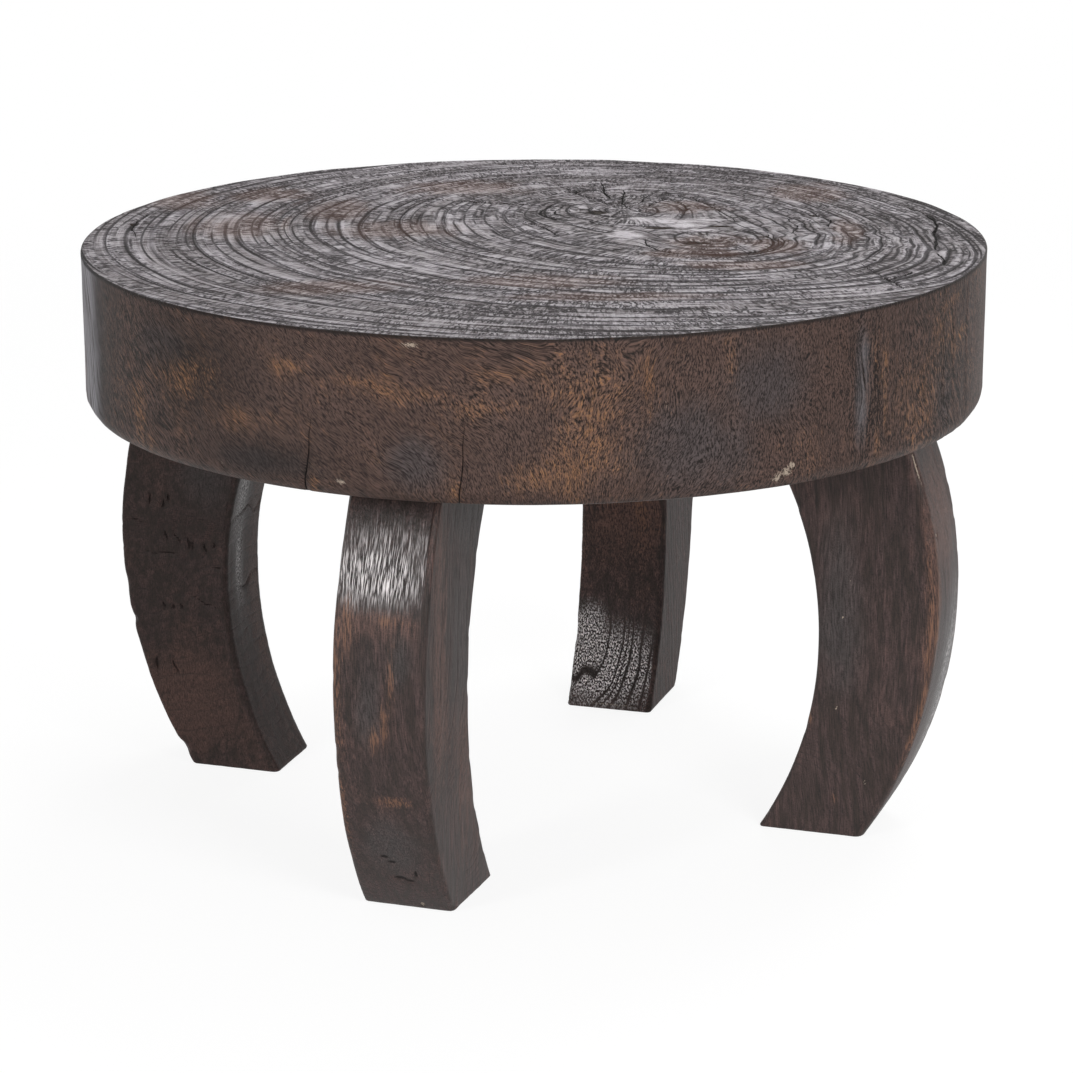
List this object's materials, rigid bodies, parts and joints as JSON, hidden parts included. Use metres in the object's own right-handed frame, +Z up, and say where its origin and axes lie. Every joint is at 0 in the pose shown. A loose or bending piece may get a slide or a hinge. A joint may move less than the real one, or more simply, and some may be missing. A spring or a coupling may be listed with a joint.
{
  "type": "round slab coffee table",
  "caption": "Low round table: a thick end-grain wood slab with double heart rings, on bowed rectangular legs joined to its underside by hidden dowels.",
  "frame": {"origin": "on the floor under the middle of the top", "axes": "+Z up; the front leg stands near -Y, the right leg near +X"},
  "size_m": [0.712, 0.712, 0.457],
  "materials": {
    "slab_wood": "burnt and wire-brushed dark brown, satin wax, orange-brown where rubbed through",
    "leg_wood": "burnt and wire-brushed dark brown, satin to semi-gloss wax",
    "dowel_wood": "bare turned hardwood"
  },
  "bodies": {
    "root": {"tabletop_slab": "slab_wood", "leg_front": "leg_wood", "leg_right": "leg_wood", "leg_back": "leg_wood", "leg_left": "leg_wood", "dowel_front_inner": "dowel_wood", "dowel_front_outer": "dowel_wood", "dowel_right_inner": "dowel_wood", "dowel_right_outer": "dowel_wood", "dowel_back_inner": "dowel_wood", "dowel_back_outer": "dowel_wood", "dowel_left_inner": "dowel_wood", "dowel_left_outer": "dowel_wood"}
  },
  "joints": []
}
